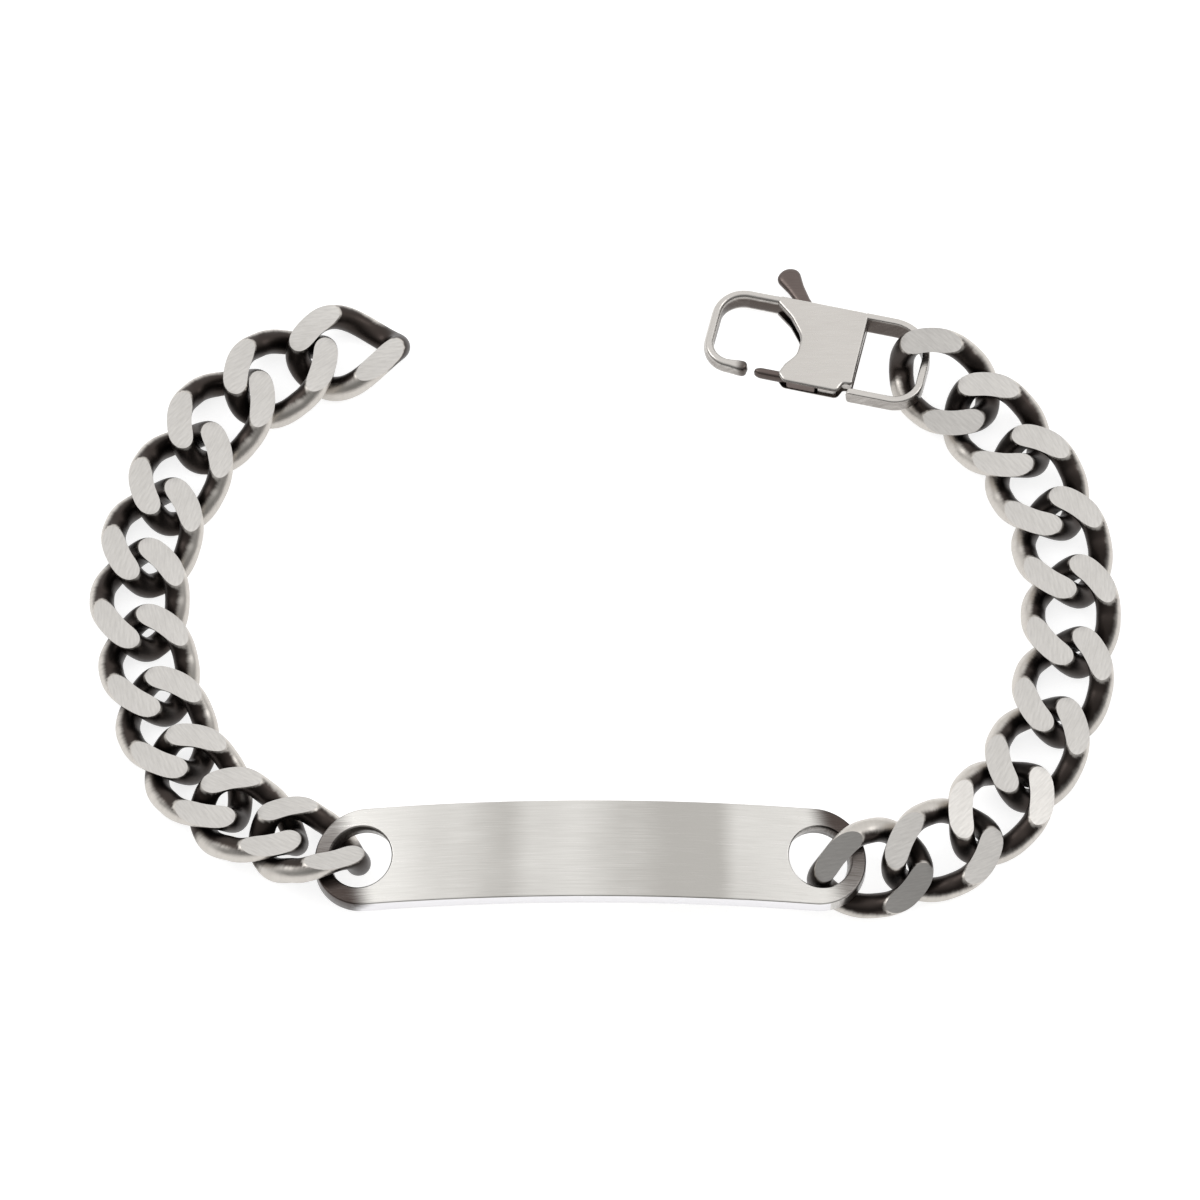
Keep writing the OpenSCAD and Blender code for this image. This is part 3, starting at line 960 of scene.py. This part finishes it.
def sweep_bar(
    path: np.ndarray, half_w: np.ndarray, half_h: np.ndarray,
    power: float, round_end: float, inner: int = 0,
) -> tuple:
    """Carries a superellipse along a flat path, and rounds both ends.

    The point of a section is path + half_w x across + half_h z up. Towards an end, at
    the distance d from it, the section shrinks by root(1 - (1 - d / round_end)^2), and
    less in height, which leaves the end blunt. The bar is darker down its sides, by a
    smooth step of a point's place across it.

    Args:
        path: Points of the centre line, seen from the face.
        half_w: Half the bar's width at each point.
        half_h: Half the bar's height at each point.
        power: The superellipse's exponent.
        round_end: Length of each rounded end.
        inner: 1 or -1 for the side across the path that faces inwards and is darkest.

    Returns:
        Points, faces, with one over each end, and the patina of each point.
    """
    run = run_length(path)
    near = np.clip(np.minimum(run, run[-1] - run) / round_end, 0, 1)
    shrink = np.sqrt(1 - (1 - np.maximum(near, 0.004)) ** 2)
    along = unit(np.gradient(path, axis=0))
    across = np.c_[-along[:, 1], along[:, 0]]
    loop = squircle(36, power)
    wide = loop[None, :, 0] * (half_w * shrink)[:, None]
    plan = path[:, None, :] + wide[:, :, None] * across[:, None, :]
    high = loop[None, :, 1] * (half_h * (0.35 + 0.65 * shrink) * np.where(near < 1e-9, 0.2, 1))[:, None]
    points = np.concatenate([plan, high[:, :, None]], axis=2).reshape(-1, 3)
    side = loop[:, 0]
    shade = smooth_step(np.abs(side), 0.72, 1.0) * np.where(side * inner > 0, 0.85, 0.5)
    return points, capped_faces(len(path), len(loop)), np.tile(shade, len(path))


class LeverSection(NamedTuple):
    """A section of the lever: its distance from the thumb piece's end, and its half sizes."""

    at: float
    half_w: float
    half_h: float


LEVER_SECTIONS = (
    LeverSection(0.0, 1.12, 0.62),
    LeverSection(1.0, 1.12, 0.62),
    LeverSection(2.3, 0.82, 0.5),
    LeverSection(3.9, 0.66, 0.47),
    LeverSection(5.4, 0.72, 0.47),
    LeverSection(7.4, 1.2, 0.5),
    LeverSection(10.2, 0.6, 0.5),
    LeverSection(12.2, 0.42, 0.58),
)


@dataclass
class Clasp:
    """The clasp: its frame and housing, its lever and the lever's hidden pin.

    Sizes are seen from its face: x runs to the rear and y towards the thumb piece, from
    the lever's pin.

    Attributes:
        length: Length of the frame.
        width: Width of the frame.
        thick: Thickness along the thumb piece's side.
        thin: Thickness along the gate's side.
        strip: Wall of the strip that forms the rear loop.
        hook_strip: Wall of the hook.
        rear: Where the frame ends at the rear.
        high: Where the frame ends towards the thumb piece.
        hook_lift: How much higher the hook's open side sits than the loop's.
        corner: Radii of the frame's corners: top rear, top front, low front, low rear.
        house: Where the housing starts and ends along the frame.
        mouth: Distance from the hook's front to its tip's end.
        tip_bend: How far the tip's end bends inwards.
        tip_swell: How much wider the tip is than the hook, as a share.
        slot: Where the painted shade of a slot in the hook's inner wall starts, ahead of the housing; no
            slot is cut in the mesh.
        slot_shade_half: Half the height of the painted slot shade.
        loop_gap: How far the rear loop's free end reaches in from the housing's rear end.
        cheek_z: Distance of a face plate's inner face from the clasp's middle plane.
        fillet: Radius of the face plates' rims.
        gate_inset: Distance of the gate's middle from the frame's low side.
        step: Greatest distance between sections of a strip.
        turn: The clasp's heading in degrees.
        roll: Its lean about its length.
        pitch: Its lean along its length.
        thumb: Free end of the thumb piece.
        neck: Where the lever bends between the thumb piece and the pin.
        gate_end_x: Where the gate ends.
    """

    length: float = 20.9
    width: float = 9.3
    thick: float = 2.4
    thin: float = 1.5
    strip: float = 0.75
    hook_strip: float = 0.95
    rear: float = 10.85
    high: float = 2.6
    hook_lift: float = 0.6
    corner: tuple[float, float, float, float] = (4.0, 3.0, 2.6, 2.8)
    house: tuple[float, float] = (-3.6, 4.4)
    mouth: float = 4.5
    tip_bend: float = 0.03
    tip_swell: float = 0.28
    slot: float = 3.6
    slot_shade_half: float = 0.5
    loop_gap: float = 0.45
    cheek_z: float = 0.55
    fillet: float = 0.3
    gate_inset: float = 0.9
    step: float = 0.12
    turn: float = -12.8
    roll: float = -13.0
    pitch: float = -2.0
    thumb: tuple[float, float] = (-4.57, 6.18)
    neck: tuple[float, float] = (-1.95, 2.9)
    gate_end_x: float = -4.9

    @property
    def low(self) -> float:
        """Where the frame ends towards the gate."""
        return self.high - self.width

    @property
    def front(self) -> float:
        """Where the hook ends."""
        return self.rear - self.length

    def half(self, y: np.ndarray | float) -> np.ndarray | float:
        """Returns half the clasp's thickness at y: a straight wedge from thin to thick."""
        return self.thin / 2 + (self.thick - self.thin) / 2 * (y - self.low) / self.width

    def lay(self, points: np.ndarray) -> np.ndarray:
        """Returns points of the clasp, in its own frame, where the clasp lies."""
        pin = np.array(frame["joints"][0]["pos_m"]) / MM
        return points @ rotation(self.roll, self.pitch, self.turn).T + pin

    def hook(self) -> tuple:
        """Returns the hook's strip, from inside the housing round to its swollen tip."""
        inset, y1 = self.strip / 2, self.high - self.strip / 2
        x0, y0 = self.front + inset, self.low + self.hook_lift + inset
        path = rounded_path([
            (self.house[0] + 1.4, y1, 0),
            (x0, y1, self.corner[1] - inset),
            (x0, y0, self.corner[2] - inset),
            (self.front + self.mouth, y0 + self.tip_bend, 0),
        ], self.step)
        to_tip = np.arange(len(path))[::-1] * self.step
        swell = 1 + self.tip_swell * (1 - smooth_step(to_tip, 0.7, 2.0))
        points, faces, patina = sweep_bar(
            path, self.hook_strip / 2 * swell, self.half(path[:, 1]) * 0.95, 2.6, 0.5, 1
        )
        columns = len(points) // len(path)
        tip = np.repeat(0.8 * (1 - smooth_step(to_tip, 0.3, 1.6)), columns)
        # Painted shade of a slot: a dark band along the hook's inner wall, where no opening is cut.
        start = self.house[0] - self.slot
        slot = np.repeat(smooth_step(path[:, 0], start, start + 0.3), columns)
        on_wall = (points[:, 1] < y1) & (np.abs(points[:, 2]) < self.slot_shade_half) & (points[:, 1] > 0)
        return points, faces, np.maximum(patina, np.maximum(tip, slot * on_wall))

    def rear_loop(self) -> tuple:
        """Returns the rear loop's strip, from inside the housing round to its free end."""
        inset, y1, y0 = self.strip / 2, self.high - self.strip / 2, self.low + self.strip / 2
        x1 = self.rear - inset
        path = rounded_path([
            (self.house[1] - 0.6, y1, 0),
            (x1, y1, self.corner[0] - inset),
            (x1, y0, self.corner[3] - inset),
            (self.house[1] - self.loop_gap, y0, 0),
        ], self.step)
        return sweep_bar(path, np.full(len(path), inset), self.half(path[:, 1]), 5.0, 0.35, -1)

    def cheek_loop(self) -> np.ndarray:
        """Outline of a face plate, stepped by the loop and hollowed on the hook's side.

        Each corner is x, y and the radius that rounds it.
        """
        x0, x1, y0, y1 = *self.house, self.low, self.high
        corners = [
            (x0 - 0.75, y1 - 0.02, 0.3), (x1 - 0.1, y1 - 0.02, 0.5), (x1, y0 + 1.2, 0.3),
            (x1 - 0.85, y0 + 1.1, 0.2), (x1 - 1.25, y0 + 0.1, 0.5), (x0 + 1.6, y0 + 0.12, 0.6),
            (x0 + 0.95, y0 + 0.85, 0.35), (x0 + 1.35, y0 + 2.0, 1.2), (x0 + 2.25, y0 + 3.3, 1.8),
            (x0 + 2.25, y0 + 5.3, 2.0), (x0 + 0.85, y0 + 7.2, 2.0), (x0 - 0.75, y1 - self.strip, 0.3),
        ]
        return closed_path(corners, (corners[0][0] + corners[1][0]) / 2, 0.1)

    def slab(self, loop: np.ndarray, side: int) -> tuple:
        """A plate under an outline, from a flat inner face to the wedge's face.

        The outline goes up the wall and round a quarter circle of the fillet's radius,
        moved inwards along its own normals, and the face closes it.

        Args:
            loop: The outline.
            side: 1 for the face and -1 for the back.

        Returns:
            Points, faces and the patina of each point, which darkens down the wall.
        """
        along = unit(np.roll(loop, -1, axis=0) - np.roll(loop, 1, axis=0))
        inward = np.c_[along[:, 1], -along[:, 0]]
        if ((loop.mean(axis=0) - loop) * inward).sum() < 0:
            inward = -inward
        rings = [np.c_[loop, np.full(len(loop), self.cheek_z * side)]]
        shades = [0.9]
        for q in np.linspace(0, math.pi / 2, 6):
            plan = loop + inward * self.fillet * (1 - math.cos(q))
            drop = self.fillet * (1 - math.sin(q))
            rings.append(np.c_[plan, side * (self.half(plan[:, 1]) - drop)])
            shades.append(0.6 * (1 - math.sin(q)))
        return np.vstack(rings), capped_faces(len(rings), len(loop)), np.repeat(shades, len(loop))

    def web(self) -> tuple:
        """Returns the wall that joins the two face plates at the rear, with a foot under the face."""
        x0, x1, foot_x, y0, y1, r = 2.4, self.house[1] - 0.12, 1.25, self.low, self.high - 0.5, 0.1
        loop = closed_path([
            (x0, y1, r), (x1, y1, r), (x1, y0 + 1.3, r), (x1 - 1.2, y0 + 1.2, r), (x1 - 1.3, y0 + 0.3, r),
            (foot_x, y0 + 0.3, r), (foot_x, y0 + 1.1, r), (x0, y0 + 1.1, r),
        ], 3.4, 0.3)
        return prism(loop, half=0.7, shade=0.4)

    def lever(self) -> tuple:
        """Returns the lever: thumb piece, hidden hub and gate in one bar."""
        gate_y = self.low + self.gate_inset
        path = rounded_path([
            (*self.thumb, 0), (*self.neck, 1.0), (0.0, 0.0, 2.0), (0.1, gate_y, 0.45),
            (self.gate_end_x, gate_y, 0),
        ], 0.08)
        at, half_w, half_h = np.array(LEVER_SECTIONS).T
        run = run_length(path)
        power, round_end = 2.3, 0.8
        return sweep_bar(path, np.interp(run, at, half_w), np.interp(run, at, half_h), power, round_end)

    def lever_foot(self) -> tuple:
        """Returns the broad end of the lever that fills the housing's lower side."""
        x0, x1, y0, y1 = -1.7, 1.05, self.low + 0.18, self.low + 1.3
        corners = [(x0, y0, 0.15), (x1, y0, 0.15), (x1, y1, 0.3), (x0, y1, 0.3)]
        return prism(closed_path(corners, 0, 0.1), half=0.5, shade=0.0)

    def mesh(self, name: str, parts: list[tuple], finish: bpy.types.Material) -> bpy.types.Mesh:
        """Joins parts into one mesh where the clasp lies, with crisp and smooth edges.

        Args:
            name: The mesh's name.
            parts: Points, faces and patina of each part, in the clasp's frame.
            finish: The material.

        Returns:
            The mesh.
        """
        points, part_faces, shades = zip(*parts)
        starts = np.cumsum([0] + [len(part) for part in points])
        faces = [[i + start for i in face] for start, part in zip(starts, part_faces) for face in part]
        mesh = mesh_from(name, self.lay(np.vstack(points)), faces, np.concatenate(shades))
        work = bmesh.new()
        work.from_mesh(mesh)
        bmesh.ops.remove_doubles(work, verts=work.verts[:], dist=0.0005 * MM)
        bmesh.ops.recalc_face_normals(work, faces=work.faces[:])
        for f in work.faces:
            f.smooth = len(f.verts) == 4
        for e in work.edges:
            if e.is_manifold and e.calc_face_angle() > math.radians(35):
                e.smooth = False
        work.to_mesh(mesh)
        work.free()
        mesh.materials.append(finish)
        return mesh

    def build(self) -> None:
        """Makes the frame and the lever, and gives the pin its finish."""
        satin, dark = SATIN_CLASP.build(), DARK_LEVER.build()
        parts = [self.hook(), self.rear_loop(), self.web()]
        parts += [self.slab(self.cheek_loop(), side) for side in (1, -1)]
        frame_mesh = self.mesh("clasp_frame", parts, satin)
        add_piece("clasp_frame", frame_mesh, Body.BRACELET, Slot.CLASP, "clasp_body")
        lever_mesh = self.mesh("lever", [self.lever(), self.lever_foot()], dark)
        add_piece("lever_smooth", lever_mesh, Body.LEVER, Slot.LEVER, "clasp_lever")
        pin = frame["nodes"]["lever_pin"]
        pin.data.materials.clear()
        pin.data.materials.append(dark)


# Stage


@dataclass
class Studio:
    """The pale floor, the lights and the camera.

    Attributes:
        target: The point that the camera looks at.
        elevation: The camera's elevation in degrees.
        distance: Its distance.
        frame_mm: Width of the view at the target.
        sensor: The sensor's width in millimetres.
        sky_top: Strength of the sky where it is bright.
        sky_low: Strength of the sky where it is dim.
        sky_slant: How much the sky brightens towards the back, against upwards.
        sky_ends: The slanted heights where the sky is dimmest and brightest.
        floor_half: Half the floor's width.
        floor_shade: The floor's brightness where it is lit.
        floor_glow: Strength of the floor's own light, which keeps it white.
        light_elevation: Elevation of the two lights in degrees.
        light_reach: Their distance in metres.
        light_size: Their width and height in metres.
    """

    target: tuple[float, float, float] = (-0.47, -1.96, 3.4)
    elevation: float = 68.5
    distance: float = 1200.0
    frame_mm: float = 1200 / 10.8
    sensor: float = 36.0
    sky_top: float = 1.15
    sky_low: float = 0.16
    sky_slant: float = 0.75
    sky_ends: tuple[float, float] = (-0.2, 1.1)
    floor_half: float = 6000.0
    floor_shade: float = 0.55
    floor_glow: float = 0.75
    light_elevation: float = 40.0
    light_reach: float = 1.8
    light_size: float = 0.8

    def build_camera(self) -> None:
        """Makes the camera, at the photograph's angle."""
        data = bpy.data.cameras.new("camera")
        data.sensor_width = self.sensor
        data.lens = self.sensor * self.distance / self.frame_mm
        data.clip_start, data.clip_end = 0.05, 20.0
        camera = bpy.data.objects.new("camera", data)
        bpy.context.scene.collection.objects.link(camera)
        tilt = math.radians(self.elevation)
        offset = Vector((0, -math.cos(tilt), math.sin(tilt))) * self.distance * MM
        camera.location = Vector(self.target) * MM + offset
        camera.rotation_euler = (math.pi / 2 - tilt, 0, 0)
        bpy.context.scene.camera = camera
        bpy.context.scene.view_settings.view_transform = "Standard"

    def build_floor(self) -> None:
        """Makes the plain pale floor."""
        corners = np.array([[-1, -1, 0], [1, -1, 0], [1, 1, 0], [-1, 1, 0]]) * self.floor_half
        mesh = mesh_from("floor", corners, [[0, 1, 2, 3]])
        floor = bpy.data.objects.new("floor", mesh)
        bpy.context.scene.collection.objects.link(floor)
        material = bpy.data.materials.new("pale_floor")
        material.use_nodes = True
        look = {
            "Base Color": (self.floor_shade, self.floor_shade, self.floor_shade, 1), "Roughness": 0.9,
            "Specular IOR Level": 0.05, "Emission Color": (1, 1, 1, 1),
            "Emission Strength": self.floor_glow,
        }
        for name, value in look.items():
            material.node_tree.nodes["Principled BSDF"].inputs[name].default_value = value
        mesh.materials.append(material)

    def add_light(self, name: str, azimuth: float, watts: float) -> None:
        """Adds one area light that faces the bracelet.

        Args:
            name: The light's name.
            azimuth: Direction it stands in, in degrees from +X.
            watts: Its power.
        """
        data = bpy.data.lights.new(name, "AREA")
        data.shape = "RECTANGLE"
        data.size = data.size_y = self.light_size
        data.energy = watts
        light = bpy.data.objects.new(name, data)
        bpy.context.scene.collection.objects.link(light)
        a, e = math.radians(azimuth), math.radians(self.light_elevation)
        direction = Vector((math.cos(e) * math.cos(a), math.cos(e) * math.sin(a), math.sin(e)))
        light.location = direction * self.light_reach
        light.rotation_euler = direction.to_track_quat("Z", "Y").to_euler()

    def build_lights(self) -> None:
        """Lights the scene softly: a sky that is bright overhead and behind, and dim low in front."""
        world = bpy.data.worlds.new("studio_sky")
        world.use_nodes = True
        n = Nodes(world.node_tree)
        direction = n.add("ShaderNodeTexCoord").outputs["Generated"]
        parts = n.add("ShaderNodeSeparateXYZ", {0: direction}).outputs
        slanted = n.math("ADD", parts[2], n.math("MULTIPLY", parts[1], self.sky_slant))
        lift = n.ramp(slanted, *self.sky_ends)
        strength = n.math("ADD", n.math("MULTIPLY", lift, self.sky_top - self.sky_low), self.sky_low)
        background = world.node_tree.nodes["Background"]
        background.inputs["Color"].default_value = (1, 1, 1, 1)
        world.node_tree.links.new(strength, background.inputs["Strength"])
        bpy.context.scene.world = world
        self.add_light("left", 165, 5)
        self.add_light("right", 15, 4)


def main() -> None:
    """Builds the camera and stage, then each sub-assembly."""
    logging.basicConfig(level=logging.INFO, format="%(name)s %(message)s")
    studio = Studio()
    studio.build_camera()
    studio.build_floor()
    studio.build_lights()
    plate = Plate()
    plate.build()
    Chain(plate).build()
    Clasp().build()


if __name__ == "__main__":
    main()
